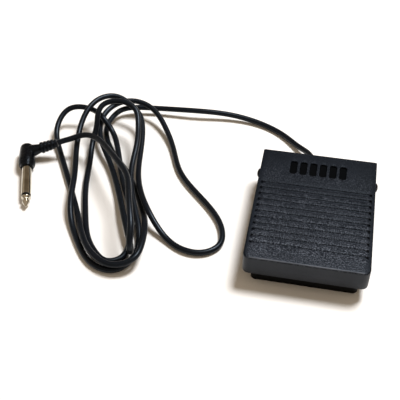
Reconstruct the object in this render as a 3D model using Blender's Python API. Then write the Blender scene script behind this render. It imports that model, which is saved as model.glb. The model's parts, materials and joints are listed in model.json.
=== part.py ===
"""Sustain pedal: a sprung foot switch with a ribbed treadle, its lead and its right-angle plug.

Frame: +Z up, X across the pedal, the toe end at -Y and the hinge end at +Y. The origin is on the
ground, under the middle of the pedal. Driving dimensions are in millimetres; the meshes are metres.
"""
import math

import bmesh
import bpy
import numpy as np
from mathutils import Matrix, Vector

MM = 0.001
GAP = 0.3
HEX_SIDES = 6

# Treadle: an upturned tray whose top slopes down towards the toe.
PEDAL_WIDTH = 71.2
PEDAL_DEPTH = 91.4
REAR_HEIGHT = 25.5
TOE_HEIGHT = 22.5
MID_HEIGHT = (REAR_HEIGHT + TOE_HEIGHT) / 2
SLOPE = (REAR_HEIGHT - TOE_HEIGHT) / PEDAL_DEPTH
SKIRT_HEIGHT = 13.2
SKIRT_WALL = 2.2
PLATE_THICKNESS = 2.5
TOE_CORNER = 4.0
HEEL_CORNER = 1.0
HALF_WIDTH = PEDAL_WIDTH / 2
HALF_DEPTH = PEDAL_DEPTH / 2

# Grip grooves across the treadle.
GROOVE_COUNT = 11
GROOVE_PITCH = 4.95
GROOVE_WIDTH = 2.3
GROOVE_DEPTH = 0.7
GROOVE_MARGIN = 2.2
FIRST_GROOVE_Y = 15.5

# Row of plain round-ended slots near the hinge end.
SLOT_COUNT = 6
SLOT_PITCH = 6.1
SLOT_WIDTH = 4.2
SLOT_LENGTH = 11.2
SLOT_Y = 32.0
SLOT_DEPTH = 1.0
SLOT_CORNER = 1.4

# Base tray.
BASE_WIDTH = 61.5
BASE_FRONT_Y = -41.7
BASE_REAR_Y = 42.0
BASE_CORNER = 3.0
BASE_WALL = 2.0
BASE_UNDERSIDE = 0.4
FLOOR_TOP = 3.4
BASE_WALL_TOP = 14.0
REAR_WALL_TOP = 22.3
SOLE_WIDTH = 54.0
SOLE_DEPTH = 76.0
SOLE_TOP = 1.2
SOLE_CORNER = 4.0
BASE_MID_Y = (BASE_FRONT_Y + BASE_REAR_Y) / 2

# Hinge: a pin on each side, pressed into an ear of the base.
HINGE_Y = 31.5
HINGE_Z = 17.0
PIN_RADIUS = 2.0
PIN_HEAD_RADIUS = 3.0
PIN_HEAD_THICKNESS = 1.8
PIN_HOLE_RADIUS = PIN_RADIUS + GAP
PIN_INNER_X = 26.0
BOSS_RADIUS = 4.2
BOSS_INNER_X = BASE_WIDTH / 2 + 0.4
EAR_HALF_LENGTH = 5.0
EAR_TOP = 20.6

# Return spring, on a peg at each end.
SPRING_Y = -20.0
SPRING_RADIUS = 4.5
SPRING_WIRE = 0.55
SPRING_TURNS = 6.5
SPRING_STEPS = 14
SPRING_BOTTOM = FLOOR_TOP + GAP + SPRING_WIRE
SPRING_PEG_RADIUS = 3.2
SPRING_PEG_HEIGHT = 3.0

# Travel stops: rubber pads on the floor, posts under the treadle.
STOP_X = 20.0
STOP_Y = -34.0
STOP_PAD_RADIUS = 3.6
STOP_PAD_TOP = 9.0
STOP_POST_RADIUS = 3.0
STOP_POST_BOTTOM = 12.9

# Lever microswitch, standing beside a rib of the base.
SWITCH_X = 14.0
SWITCH_WIDTH = 6.4
SWITCH_FRONT_Y = -12.0
SWITCH_REAR_Y = 8.0
SWITCH_BOTTOM = FLOOR_TOP + GAP
SWITCH_SPLIT_Z = 11.5
SWITCH_TOP = 14.0
SWITCH_SCREW_YS = (-7.0, 3.0)
SWITCH_SCREW_Z = 7.5
LEVER_Y = 6.5
LEVER_Z = 14.9
LEVER_LENGTH = 19.0
LEVER_WIDTH = 3.6
LEVER_THICKNESS = 0.5
LEVER_REST_ANGLE = math.radians(8.0)
LEVER_CURL_RADIUS = 0.8
LEVER_PIN_RADIUS = 0.6
LUG_THICKNESS = 0.9
PLUNGER_Y = 1.5
PLUNGER_RADIUS = 1.25
PLUNGER_BOTTOM = 10.0
PLUNGER_POCKET_BOTTOM = 9.15
PLUNGER_TOP = 15.0
ACTUATOR_BOTTOM = 18.85
TERMINAL_ZS = {"common": 5.0, "open": 7.4, "closed": 9.8}
TERMINAL_LENGTH = 4.2
TERMINAL_WIDTH = 2.4
TERMINAL_THICKNESS = 0.6
SCREW_RADIUS = 1.0
SCREW_HEAD_RADIUS = 1.9
SCREW_HEAD_HEIGHT = 1.3

# Ballast plate.
BALLAST_X = (-27.0, -8.0)
BALLAST_Y = (-26.0, 20.0)
BALLAST_THICKNESS = 3.0
BALLAST_SCREW_YS = (-20.0, 14.0)

# Lead: where it leaves the rear wall, its clamp, and its own size.
LEAD_X = -4.0
LEAD_Z = 8.0
LEAD_RADIUS = 1.9
LEAD_INNER_END_Y = 20.0
WIRE_RADIUS = 0.6
WIRE_STEP = 1.6
CLAMP_Y = 28.0
CLAMP_LENGTH = 5.0
CLAMP_HALF_WIDTH = 8.4
CLAMP_ARCH_INNER = LEAD_RADIUS + GAP
CLAMP_ARCH_OUTER = 3.8
CLAMP_FOOT_BOTTOM = 6.1
CLAMP_FOOT_TOP = 7.7
CLAMP_SCREW_OFFSET = 6.2
RELIEF_NECK_RADIUS = 3.0
RELIEF_FLANGE_RADIUS = 3.9
RELIEF_END_RADIUS = 2.5
RELIEF_END_Y = 56.0

# Plug: the shaft and the side arm meet at the middle of the housing.
PLUG_CENTRE = Vector((-193.7, 34.2, 6.2))
PLUG_YAW = math.radians(-71.4)
PLUG_DROOP = math.radians(3.4)
PLUG_ROLL = math.radians(17.0)
PLUG_HOUSING_RADIUS = 5.6
PLUG_HOUSING_TOP_RADIUS = 4.9
PLUG_HOUSING_BACK = -5.6
PLUG_HOUSING_FRONT = 15.1
PLUG_STUB_RADIUS = 4.4
PLUG_STUB_END_RADIUS = 3.0
PLUG_STUB_LENGTH = 9.6
PLUG_SHAFT_RADIUS = 3.17
PLUG_SLEEVE_END = 40.0
PLUG_TIP_END = 49.8
BOOT_LENGTH = 12.0
BOOT_START_RADIUS = 3.9
BOOT_END_RADIUS = 2.9
BOOT_RIBS = 4

# Free lead: the stretches of its centreline outside the winding, and the winding's outer shape.
TUBE_STEP = 9.0
LEAD_OUT_ROUTE = [
    (-4, 56.4, 8), (-4.4, 61.5, 7.6), (-7.8, 69.8, 6), (-15.6, 79, 3.6), (-25.7, 89.4, 2.5), (-39, 98, 2.3),
    (-68, 103, 5), (-88, 101, 6.5), (-122, 99.3, 5.6),
]
LEAD_LOOP_ROUTE = [
    (-99.5, -7, 6.3), (-85, -22, 2.5), (-73, -29, 2.2), (-61, -29, 2.2), (-53, -22, 2.2), (-53, -9, 2.2),
    (-62, 7, 2.2), (-90, 40, 2.2), (-99, 61, 2.8), (-110.5, 81.5, 6.2),
]
LEAD_TAIL_ROUTE = [(-159, 46.0, 17.5), (-165.4, 43.2, 15.1), (-170.1, 41.7, 13.8), (-173.2, 40.7, 12.8)]
WINDING_ENDS = [(-114, -36, 22, 32.0), (-162, 70, 23, 28.4), (-134, 78, 24, 30.0)]
WINDING_UNDERSIDE = 0.1
WINDING_EDGE = 3.0
BOOT_NOTCH_X = (-200.0, -164.5)
BOOT_NOTCH_Y = (25.0, 49.0)
BOOT_NOTCH_BOTTOM = 5.4
SOCKET_RADIUS = LEAD_RADIUS + 1.2
SOCKET_OVERRUN = 1.5


# ---------------------------------------------------------------------------------------- helpers

def clear_scene():
    for item in list(bpy.data.objects):
        bpy.data.objects.remove(item, do_unlink=True)


def make_material(name, colour, roughness, metallic=0.0):
    material = bpy.data.materials.new(name)
    material.use_nodes = True
    shader = material.node_tree.nodes["Principled BSDF"]
    shader.inputs["Base Color"].default_value = (*colour, 1.0)
    shader.inputs["Roughness"].default_value = roughness
    shader.inputs["Metallic"].default_value = metallic
    return material


def make_axis(name, point):
    """An empty on a joint's axis, which the moving pieces are parented to."""
    empty = bpy.data.objects.new(name, None)
    empty.empty_display_size = 0.01
    empty.location = Vector(point) * MM
    bpy.context.collection.objects.link(empty)
    return empty


def make_object(name, shape, material=None, axis=None):
    """Turn a shape in millimetres into an object in metres, with its origin on its axis if it has one."""
    origin = Vector(axis.location) if axis else Vector((0.0, 0.0, 0.0))
    bmesh.ops.scale(shape, vec=(MM, MM, MM), verts=shape.verts)
    bmesh.ops.translate(shape, vec=-origin, verts=shape.verts)
    bmesh.ops.recalc_face_normals(shape, faces=shape.faces)
    mesh = bpy.data.meshes.new(name)
    shape.to_mesh(mesh)
    shape.free()
    item = bpy.data.objects.new(name, mesh)
    bpy.context.collection.objects.link(item)
    item.parent = axis
    if material:
        mesh.materials.append(material)
    mesh.shade_smooth()
    mesh.set_sharp_from_angle(angle=math.radians(35))
    return item


def combine(item, shapes, operation):
    """Join shapes to an object, or cut them out of it, and keep the result as its mesh."""
    tools = []
    for shape in shapes:
        tool = make_object("tool", shape)
        tool.location = -Vector(item.parent.location) if item.parent else Vector((0.0, 0.0, 0.0))
        tool.parent = item.parent
        modifier = item.modifiers.new("combine", "BOOLEAN")
        modifier.operation = operation
        modifier.solver = "EXACT"
        modifier.object = tool
        tools.append(tool)
    bpy.context.view_layer.update()
    evaluated = item.evaluated_get(bpy.context.evaluated_depsgraph_get())
    mesh = bpy.data.meshes.new_from_object(evaluated)
    item.modifiers.clear()
    item.data = mesh
    mesh.shade_smooth()
    mesh.set_sharp_from_angle(angle=math.radians(35))
    for tool in tools:
        bpy.data.objects.remove(tool, do_unlink=True)


def prism(outline, low, high):
    """A solid with the outline as its plan, between two heights."""
    shape = bmesh.new()
    lower = [shape.verts.new((x, y, low)) for x, y in outline]
    upper = [shape.verts.new((x, y, high)) for x, y in outline]
    shape.faces.new(list(reversed(lower)))
    shape.faces.new(upper)
    count = len(outline)
    for index in range(count):
        following = (index + 1) % count
        shape.faces.new((lower[index], lower[following], upper[following], upper[index]))
    return shape


def box(x_span, y_span, z_span):
    (x0, x1), (y0, y1) = x_span, y_span
    return prism([(x0, y0), (x1, y0), (x1, y1), (x0, y1)], *z_span)


def arc(centre, radius, start, end, steps):
    """Points of an arc, from start to end in degrees."""
    angles = np.radians(np.linspace(start, end, steps + 1))
    return [(centre[0] + radius * math.cos(a), centre[1] + radius * math.sin(a)) for a in angles]


def rounded_rectangle(width, depth, radius, centre=(0.0, 0.0), rear_radius=None, steps=5):
    """A rectangle with round corners, which may be rounder at the front than at the rear."""
    points = []
    for sx, sy, start in ((1, 1, 0), (-1, 1, 90), (-1, -1, 180), (1, -1, 270)):
        corner_radius = radius if sy < 0 or rear_radius is None else rear_radius
        x = centre[0] + sx * (width / 2 - corner_radius)
        y = centre[1] + sy * (depth / 2 - corner_radius)
        points += arc((x, y), corner_radius, start, start + 90, steps)
    return points


def turned(profile, sides):
    """A solid turned about +X from (distance along the axis, radius) pairs; the ends are capped."""
    shape = bmesh.new()
    rings = []
    for along, radius in profile:
        angles = [2 * math.pi * k / sides for k in range(sides)]
        ring = [shape.verts.new((along, radius * math.cos(a), radius * math.sin(a))) for a in angles]
        rings.append(ring)
    for near, far in zip(rings, rings[1:]):
        for k in range(sides):
            after = (k + 1) % sides
            shape.faces.new((near[k], near[after], far[after], far[k]))
    shape.faces.new(list(reversed(rings[0])))
    shape.faces.new(rings[-1])
    return shape


def along_axis(shape, point, direction):
    """Move a solid turned about +X so that its axis leaves point along direction."""
    turn = Vector((1.0, 0.0, 0.0)).rotation_difference(Vector(direction))
    place = Matrix.Translation(Vector(point)) @ turn.to_matrix().to_4x4()
    bmesh.ops.transform(shape, matrix=place, verts=shape.verts)
    return shape


def rod(point, direction, length, radius, sides=16):
    return along_axis(turned([(0.0, radius), (length, radius)], sides), point, direction)


def sheared(shape):
    """Tilt a shape in step with the treadle's sloping top, keeping its sides upright."""
    for vert in shape.verts:
        vert.co.z += SLOPE * vert.co.y
    return shape


def smooth_curve(points, step):
    """Evenly spaced points on a natural cubic spline through the given points, about a step apart."""
    knots = np.array(points, dtype=float)
    steps = np.linalg.norm(np.diff(knots, axis=0), axis=1)
    place = np.concatenate(([0.0], np.cumsum(steps)))
    size = len(knots)
    system = np.eye(size)
    right = np.zeros_like(knots)
    for i in range(1, size - 1):
        before, after = steps[i - 1], steps[i]
        system[i, i - 1:i + 2] = before, 2 * (before + after), after
        rise = (knots[i + 1] - knots[i]) / after - (knots[i] - knots[i - 1]) / before
        right[i] = 6 * rise
    bend = np.linalg.solve(system, right)
    fine = np.linspace(0.0, place[-1], 40 * size)
    cell = np.clip(np.searchsorted(place, fine, side="right") - 1, 0, size - 2)
    span = steps[cell][:, None]
    a = (place[cell + 1] - fine)[:, None]
    b = (fine - place[cell])[:, None]
    curve = (bend[cell] * a ** 3 + bend[cell + 1] * b ** 3) / (6 * span)
    curve += (knots[cell] / span - bend[cell] * span / 6) * a
    curve += (knots[cell + 1] / span - bend[cell + 1] * span / 6) * b
    travelled = np.concatenate(([0.0], np.cumsum(np.linalg.norm(np.diff(curve, axis=0), axis=1))))
    wanted = np.linspace(0.0, travelled[-1], round(travelled[-1] / step) + 1)
    return np.column_stack([np.interp(wanted, travelled, curve[:, k]) for k in range(3)])


def tube(name, points, radius, material, bevel_resolution):
    """A round tube along the points, as a curve with capped ends."""
    curve = bpy.data.curves.new(name, "CURVE")
    curve.dimensions = "3D"
    curve.bevel_depth = radius * MM
    curve.bevel_resolution = bevel_resolution
    curve.render_resolution_u = 0
    curve.use_fill_caps = True
    spline = curve.splines.new("POLY")
    spline.points.add(len(points) - 1)
    for target, point in zip(spline.points, points):
        target.co = (point[0] * MM, point[1] * MM, point[2] * MM, 1.0)
    curve.materials.append(material)
    item = bpy.data.objects.new(name, curve)
    bpy.context.collection.objects.link(item)
    return item


def add_screw(name, head_base, direction, length, material):
    """A screw whose head sits on head_base and whose shank runs along direction."""
    profile = [
        (-SCREW_HEAD_HEIGHT, SCREW_HEAD_RADIUS * 0.7),
        (-SCREW_HEAD_HEIGHT * 0.5, SCREW_HEAD_RADIUS),
        (0.0, SCREW_HEAD_RADIUS),
        (0.01, SCREW_RADIUS),
        (length, SCREW_RADIUS),
    ]
    screw = make_object(name, along_axis(turned(profile, 12), head_base, direction), material)
    slot_depth = SCREW_HEAD_HEIGHT * 0.5
    slot = rod((-SCREW_HEAD_HEIGHT - 1.0, 0.0, 0.0), (1.0, 0.0, 0.0), 1.0 + slot_depth, 0.8, HEX_SIDES)
    combine(screw, [along_axis(slot, head_base, direction)], "DIFFERENCE")
    return screw


# ------------------------------------------------------------------------------------------ parts

def build_base(plastic):
    depth = BASE_REAR_Y - BASE_FRONT_Y
    centre = (0.0, BASE_MID_Y)
    outline = rounded_rectangle(BASE_WIDTH, depth, BASE_CORNER, centre)
    hollow = rounded_rectangle(BASE_WIDTH - 2 * BASE_WALL, depth - 2 * BASE_WALL, 1.5, centre)
    base = make_object("base_tray", prism(outline, BASE_UNDERSIDE, BASE_WALL_TOP), plastic)
    combine(base, [prism(hollow, FLOOR_TOP, BASE_WALL_TOP + 1)], "DIFFERENCE")

    rear_half = BASE_WIDTH / 2 - BASE_CORNER
    additions = [box((-rear_half, rear_half), (BASE_REAR_Y - BASE_WALL, BASE_REAR_Y), (10.0, REAR_WALL_TOP))]
    ear_span = (HINGE_Y - EAR_HALF_LENGTH, HINGE_Y + EAR_HALF_LENGTH)
    for side in (-1, 1):
        ear_x = sorted((side * BASE_WIDTH / 2, side * (BASE_WIDTH / 2 - BASE_WALL)))
        additions.append(box(ear_x, ear_span, (10.0, EAR_TOP)))
    peg_base = (0.0, SPRING_Y, FLOOR_TOP - 1)
    additions.append(rod(peg_base, (0, 0, 1), SPRING_PEG_HEIGHT + 1, SPRING_PEG_RADIUS))
    rib_x = SWITCH_X + SWITCH_WIDTH / 2 + GAP
    additions.append(box((rib_x, rib_x + 2), (SWITCH_FRONT_Y, SWITCH_REAR_Y), (2.5, 12.0)))
    saddle_x = (LEAD_X - CLAMP_HALF_WIDTH, LEAD_X + CLAMP_HALF_WIDTH)
    saddle_y = (CLAMP_Y - CLAMP_LENGTH / 2, CLAMP_Y + CLAMP_LENGTH / 2)
    additions.append(box(saddle_x, saddle_y, (2.5, CLAMP_FOOT_BOTTOM - GAP)))
    combine(base, additions, "UNION")

    recess_width = SOLE_WIDTH + 2 * GAP
    recess_depth = SOLE_DEPTH + 2 * GAP
    recess = rounded_rectangle(recess_width, recess_depth, SOLE_CORNER, centre)
    cuts = [prism(recess, -1.0, SOLE_TOP + GAP)]
    cuts.append(rod((-HALF_WIDTH, HINGE_Y, HINGE_Z), (1, 0, 0), PEDAL_WIDTH, PIN_HOLE_RADIUS))
    cuts.append(rod((LEAD_X, HALF_DEPTH - 10, LEAD_Z), (0, 1, 0), 10.0, RELIEF_NECK_RADIUS + GAP))
    for y in SWITCH_SCREW_YS:
        cuts.append(rod((rib_x - 1, y, SWITCH_SCREW_Z), (1, 0, 0), 4.0, SCREW_RADIUS + GAP))
    for side in (-1, 1):
        x = LEAD_X + side * CLAMP_SCREW_OFFSET
        cuts.append(rod((x, CLAMP_Y, SOLE_TOP + 1.2), (0, 0, 1), 5.0, SCREW_RADIUS + GAP))
    for y in BALLAST_SCREW_YS:
        x = sum(BALLAST_X) / 2
        cuts.append(rod((x, y, SOLE_TOP + 1.0), (0, 0, 1), 4.0, SCREW_RADIUS + GAP))
    combine(base, cuts, "DIFFERENCE")
    return base


def build_treadle(plastic, axis):
    outline = rounded_rectangle(PEDAL_WIDTH, PEDAL_DEPTH, TOE_CORNER, rear_radius=HEEL_CORNER)
    inside = (PEDAL_WIDTH - 2 * SKIRT_WALL, PEDAL_DEPTH - 2 * SKIRT_WALL)
    hollow = rounded_rectangle(*inside, TOE_CORNER - SKIRT_WALL, rear_radius=HEEL_CORNER)
    ceiling = MID_HEIGHT - PLATE_THICKNESS
    skirt_bottom = MID_HEIGHT - SKIRT_HEIGHT
    shell = sheared(prism(outline, skirt_bottom, MID_HEIGHT))
    treadle = make_object("treadle", shell, plastic, axis)
    combine(treadle, [sheared(prism(hollow, skirt_bottom - 1, ceiling))], "DIFFERENCE")

    additions = []
    for side in (-1, 1):
        start = (side * BOSS_INNER_X, HINGE_Y, HINGE_Z)
        length = HALF_WIDTH - SKIRT_WALL / 2 - BOSS_INNER_X
        additions.append(rod(start, (side, 0, 0), length, BOSS_RADIUS, 20))
        post = (side * STOP_X, STOP_Y, STOP_POST_BOTTOM)
        post_top = ceiling + SLOPE * STOP_Y + 1.0
        additions.append(rod(post, (0, 0, 1), post_top - STOP_POST_BOTTOM, STOP_POST_RADIUS))
    peg_top = ceiling + SLOPE * SPRING_Y
    additions.append(rod((0.0, SPRING_Y, peg_top - SPRING_PEG_HEIGHT), (0, 0, 1), SPRING_PEG_HEIGHT + 1,
                         SPRING_PEG_RADIUS))
    contact_y = LEVER_Y - LEVER_LENGTH * math.cos(LEVER_REST_ANGLE)
    additions.append(box((SWITCH_X - 1.5, SWITCH_X + 1.5), (contact_y - 1.5, contact_y + 1.5),
                         (ACTUATOR_BOTTOM, ceiling)))
    combine(treadle, additions, "UNION")

    cuts = [rod((-HALF_WIDTH - 1, HINGE_Y, HINGE_Z), (1, 0, 0), PEDAL_WIDTH + 2, PIN_HOLE_RADIUS)]
    groove_x = HALF_WIDTH - GROOVE_MARGIN
    for index in range(GROOVE_COUNT):
        middle = FIRST_GROOVE_Y - index * GROOVE_PITCH
        span = (middle - GROOVE_WIDTH / 2, middle + GROOVE_WIDTH / 2)
        groove = box((-groove_x, groove_x), span, (MID_HEIGHT - GROOVE_DEPTH, MID_HEIGHT + 1))
        cuts.append(sheared(groove))
    for index in range(SLOT_COUNT):
        x = (index - (SLOT_COUNT - 1) / 2) * SLOT_PITCH
        slot = rounded_rectangle(SLOT_WIDTH, SLOT_LENGTH, SLOT_CORNER, (x, SLOT_Y), steps=3)
        cuts.append(sheared(prism(slot, MID_HEIGHT - SLOT_DEPTH, MID_HEIGHT + 1)))
    combine(treadle, cuts, "DIFFERENCE")
    return treadle


def build_pins(metal):
    for name, side in (("pivot_pin_left", -1), ("pivot_pin_right", 1)):
        head = HALF_WIDTH + GAP
        profile = [
            (PIN_INNER_X, PIN_RADIUS - 0.3),
            (PIN_INNER_X + 0.4, PIN_RADIUS),
            (head, PIN_RADIUS),
            (head + 0.01, PIN_HEAD_RADIUS),
            (head + PIN_HEAD_THICKNESS * 0.45, PIN_HEAD_RADIUS),
            (head + PIN_HEAD_THICKNESS * 0.85, PIN_HEAD_RADIUS * 0.72),
            (head + PIN_HEAD_THICKNESS, PIN_HEAD_RADIUS * 0.3),
        ]
        pin = along_axis(turned(profile, 20), (0.0, HINGE_Y, HINGE_Z), (side, 0, 0))
        make_object(name, pin, metal)


def build_spring(steel):
    top = MID_HEIGHT - PLATE_THICKNESS + SLOPE * SPRING_Y - GAP - SPRING_WIRE - SLOPE * SPRING_RADIUS
    count = int(SPRING_TURNS * SPRING_STEPS)
    points = []
    for index in range(count + 1):
        share = index / count
        eased = share - 0.8 * math.sin(2 * math.pi * share) / (2 * math.pi)
        angle = 2 * math.pi * SPRING_TURNS * share
        height = SPRING_BOTTOM + (top - SPRING_BOTTOM) * eased
        x = SPRING_RADIUS * math.cos(angle)
        points.append((x, SPRING_Y + SPRING_RADIUS * math.sin(angle), height))
    tube("return_spring", points, SPRING_WIRE, steel, 1)


def build_stops(rubber):
    for name, side in (("stop_pad_left", -1), ("stop_pad_right", 1)):
        height = STOP_PAD_TOP - FLOOR_TOP - GAP
        profile = [(0.0, STOP_PAD_RADIUS), (height - 0.8, STOP_PAD_RADIUS), (height, STOP_PAD_RADIUS - 0.8)]
        pad = along_axis(turned(profile, 16), (side * STOP_X, STOP_Y, FLOOR_TOP + GAP), (0, 0, 1))
        make_object(name, pad, rubber)


def build_switch(body_plastic, cover_plastic, steel, brass, lever_axis, plunger_axis):
    half = SWITCH_WIDTH / 2
    x_span = (SWITCH_X - half, SWITCH_X + half)
    y_span = (SWITCH_FRONT_Y, SWITCH_REAR_Y)
    body = make_object("switch_body", box(x_span, y_span, (SWITCH_BOTTOM, SWITCH_SPLIT_Z)), body_plastic)
    holes = []
    for y in SWITCH_SCREW_YS:
        start = (SWITCH_X - half - 1, y, SWITCH_SCREW_Z)
        holes.append(rod(start, (1, 0, 0), SWITCH_WIDTH + 2, SCREW_RADIUS + GAP))
    pocket_floor = (SWITCH_X, PLUNGER_Y, PLUNGER_POCKET_BOTTOM)
    holes.append(rod(pocket_floor, (0, 0, 1), SWITCH_TOP - PLUNGER_POCKET_BOTTOM, PLUNGER_RADIUS + GAP))
    combine(body, holes, "DIFFERENCE")

    cover = make_object("switch_cover", box(x_span, y_span, (SWITCH_SPLIT_Z + GAP, SWITCH_TOP)), cover_plastic)
    lugs = []
    for side in (-1, 1):
        outer = SWITCH_X + side * half
        lug_x = sorted((outer, outer - side * LUG_THICKNESS))
        lugs.append(box(lug_x, (LEVER_Y - 1.4, LEVER_Y + 1.4), (SWITCH_TOP - 0.5, LEVER_Z + 1.4)))
    combine(cover, lugs, "UNION")
    pin_bore = rod((SWITCH_X - half - 1, LEVER_Y, LEVER_Z), (1, 0, 0), SWITCH_WIDTH + 2, LEVER_PIN_RADIUS + 0.25)
    button_bore = rod((SWITCH_X, PLUNGER_Y, SWITCH_SPLIT_Z), (0, 0, 1), 4.0, PLUNGER_RADIUS + GAP)
    combine(cover, [pin_bore, button_bore], "DIFFERENCE")

    height = PLUNGER_TOP - PLUNGER_BOTTOM
    profile = [(0.0, PLUNGER_RADIUS), (height - 0.4, PLUNGER_RADIUS), (height, PLUNGER_RADIUS - 0.5)]
    plunger = along_axis(turned(profile, 16), (SWITCH_X, PLUNGER_Y, PLUNGER_BOTTOM), (0, 0, 1))
    make_object("switch_plunger", plunger, steel, plunger_axis)

    strip = box((-LEVER_WIDTH / 2, LEVER_WIDTH / 2), (-LEVER_LENGTH, 0.0), (-LEVER_THICKNESS / 2, LEVER_THICKNESS / 2))
    place = Matrix.Translation((SWITCH_X, LEVER_Y, LEVER_Z)) @ Matrix.Rotation(-LEVER_REST_ANGLE, 4, "X")
    bmesh.ops.transform(strip, matrix=place, verts=strip.verts)
    lever = make_object("switch_lever", strip, steel, lever_axis)
    curl_centre = place @ Vector((-LEVER_WIDTH / 2, -LEVER_LENGTH, 0.2))
    curl = rod(curl_centre, (1, 0, 0), LEVER_WIDTH, LEVER_CURL_RADIUS, 12)
    pin_start = (SWITCH_X - half + 0.1, LEVER_Y, LEVER_Z)
    pin = rod(pin_start, (1, 0, 0), SWITCH_WIDTH - 0.2, LEVER_PIN_RADIUS, 12)
    combine(lever, [curl, pin], "UNION")

    for index, y in enumerate(SWITCH_SCREW_YS, start=1):
        start = (SWITCH_X - half - GAP, y, SWITCH_SCREW_Z)
        add_screw(f"switch_screw_{index}", start, (1, 0, 0), SWITCH_WIDTH + 2.0, steel)
    for name, z in TERMINAL_ZS.items():
        blade_x = (SWITCH_X - TERMINAL_WIDTH / 2, SWITCH_X + TERMINAL_WIDTH / 2)
        blade_y = (SWITCH_REAR_Y + GAP, SWITCH_REAR_Y + GAP + TERMINAL_LENGTH)
        blade = box(blade_x, blade_y, (z - TERMINAL_THICKNESS / 2, z + TERMINAL_THICKNESS / 2))
        make_object(f"terminal_{name}", blade, brass)


def build_ballast(steel, screw_steel):
    bottom = FLOOR_TOP + GAP
    plate = make_object("ballast_plate", box(BALLAST_X, BALLAST_Y, (bottom, bottom + BALLAST_THICKNESS)), steel)
    x = sum(BALLAST_X) / 2
    holes = [rod((x, y, bottom - 1), (0, 0, 1), BALLAST_THICKNESS + 2, SCREW_RADIUS + GAP) for y in BALLAST_SCREW_YS]
    combine(plate, holes, "DIFFERENCE")
    for index, y in enumerate(BALLAST_SCREW_YS, start=1):
        head = (x, y, bottom + BALLAST_THICKNESS + GAP)
        add_screw(f"ballast_screw_{index}", head, (0, 0, -1), BALLAST_THICKNESS + 1.2, screw_steel)


def build_sole(rubber):
    outline = rounded_rectangle(SOLE_WIDTH, SOLE_DEPTH, SOLE_CORNER - GAP, (0.0, BASE_MID_Y))
    make_object("rubber_sole", prism(outline, 0.0, SOLE_TOP), rubber)


def build_lead_fittings(rubber, jacket, plastic, steel, wire_materials):
    """The strain relief in the rear wall, the lead's inner end, its clamp and its two wires."""
    wall_in = BASE_REAR_Y - BASE_WALL - GAP
    wall_out = BASE_REAR_Y + GAP
    profile = [
        (wall_in - 1.2, RELIEF_FLANGE_RADIUS),
        (wall_in, RELIEF_FLANGE_RADIUS),
        (wall_in + 0.01, RELIEF_NECK_RADIUS),
        (wall_out, RELIEF_NECK_RADIUS),
        (wall_out + 0.01, RELIEF_FLANGE_RADIUS),
        (wall_out + 1.6, RELIEF_FLANGE_RADIUS),
        (wall_out + 2.2, RELIEF_NECK_RADIUS + 0.1),
        (RELIEF_END_Y, RELIEF_END_RADIUS),
    ]
    relief = along_axis(turned(profile, 20), (LEAD_X, 0.0, LEAD_Z), (0, 1, 0))
    make_object("cord_strain_relief", relief, rubber)

    inner_start = wall_in - 1.2 - GAP
    tube("lead_inner", [(LEAD_X, inner_start, LEAD_Z), (LEAD_X, LEAD_INNER_END_Y, LEAD_Z)], LEAD_RADIUS, jacket, 3)

    arch = (LEAD_X, LEAD_Z)
    foot_angle = math.degrees(math.asin((LEAD_Z - CLAMP_FOOT_TOP) / CLAMP_ARCH_OUTER))
    rest_angle = math.degrees(math.asin((LEAD_Z - CLAMP_FOOT_BOTTOM) / CLAMP_ARCH_INNER))
    left = LEAD_X - CLAMP_HALF_WIDTH
    right = LEAD_X + CLAMP_HALF_WIDTH
    outline = [(left, CLAMP_FOOT_BOTTOM), *arc(arch, CLAMP_ARCH_INNER, 180 + rest_angle, -rest_angle, 10)]
    outline += [(right, CLAMP_FOOT_BOTTOM), (right, CLAMP_FOOT_TOP)]
    outline += arc(arch, CLAMP_ARCH_OUTER, -foot_angle, 180 + foot_angle, 10)
    outline.append((left, CLAMP_FOOT_TOP))
    strap = prism(outline, -CLAMP_LENGTH / 2, CLAMP_LENGTH / 2)
    place = Matrix.Translation((0.0, CLAMP_Y, 0.0)) @ Matrix.Rotation(math.radians(90), 4, "X")
    bmesh.ops.transform(strap, matrix=place, verts=strap.verts)
    clamp = make_object("cord_clamp", strap, plastic)
    holes = []
    for side in (-1, 1):
        x = LEAD_X + side * CLAMP_SCREW_OFFSET
        holes.append(rod((x, CLAMP_Y, CLAMP_FOOT_BOTTOM - 1), (0, 0, 1), 4.0, SCREW_RADIUS + GAP))
    combine(clamp, holes, "DIFFERENCE")
    for name, side in (("clamp_screw_left", -1), ("clamp_screw_right", 1)):
        head = (LEAD_X + side * CLAMP_SCREW_OFFSET, CLAMP_Y, CLAMP_FOOT_TOP + GAP)
        add_screw(name, head, (0, 0, -1), 4.4, steel)

    wire_start_y = LEAD_INNER_END_Y - GAP
    terminal_end_y = SWITCH_REAR_Y + TERMINAL_LENGTH + 2 * GAP
    for name, offset, terminal in (("wire_tip", -0.9, "common"), ("wire_sleeve", 0.9, "open")):
        x = LEAD_X + offset
        z = TERMINAL_ZS[terminal]
        bend = 16.0 + offset
        knots = [
            (x, wire_start_y, LEAD_Z),
            (x + 0.6, wire_start_y - 1.5, LEAD_Z),
            (5.0, bend, (LEAD_Z + z) / 2),
            (SWITCH_X - 1.5, bend - 0.2, z),
            (SWITCH_X, terminal_end_y, z),
        ]
        tube(name, smooth_curve(knots, WIRE_STEP), WIRE_RADIUS, wire_materials[name], 1)


def plug_frame():
    """Directions of the shaft and of the side arm, square to each other."""
    flat = math.cos(PLUG_DROOP)
    shaft = Vector((flat * math.cos(PLUG_YAW), flat * math.sin(PLUG_YAW), -math.sin(PLUG_DROOP)))
    level = Vector((0.0, 0.0, 1.0)).cross(shaft).normalized()
    arm = level * math.cos(PLUG_ROLL) + shaft.cross(level) * math.sin(PLUG_ROLL)
    return shaft, arm


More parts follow.
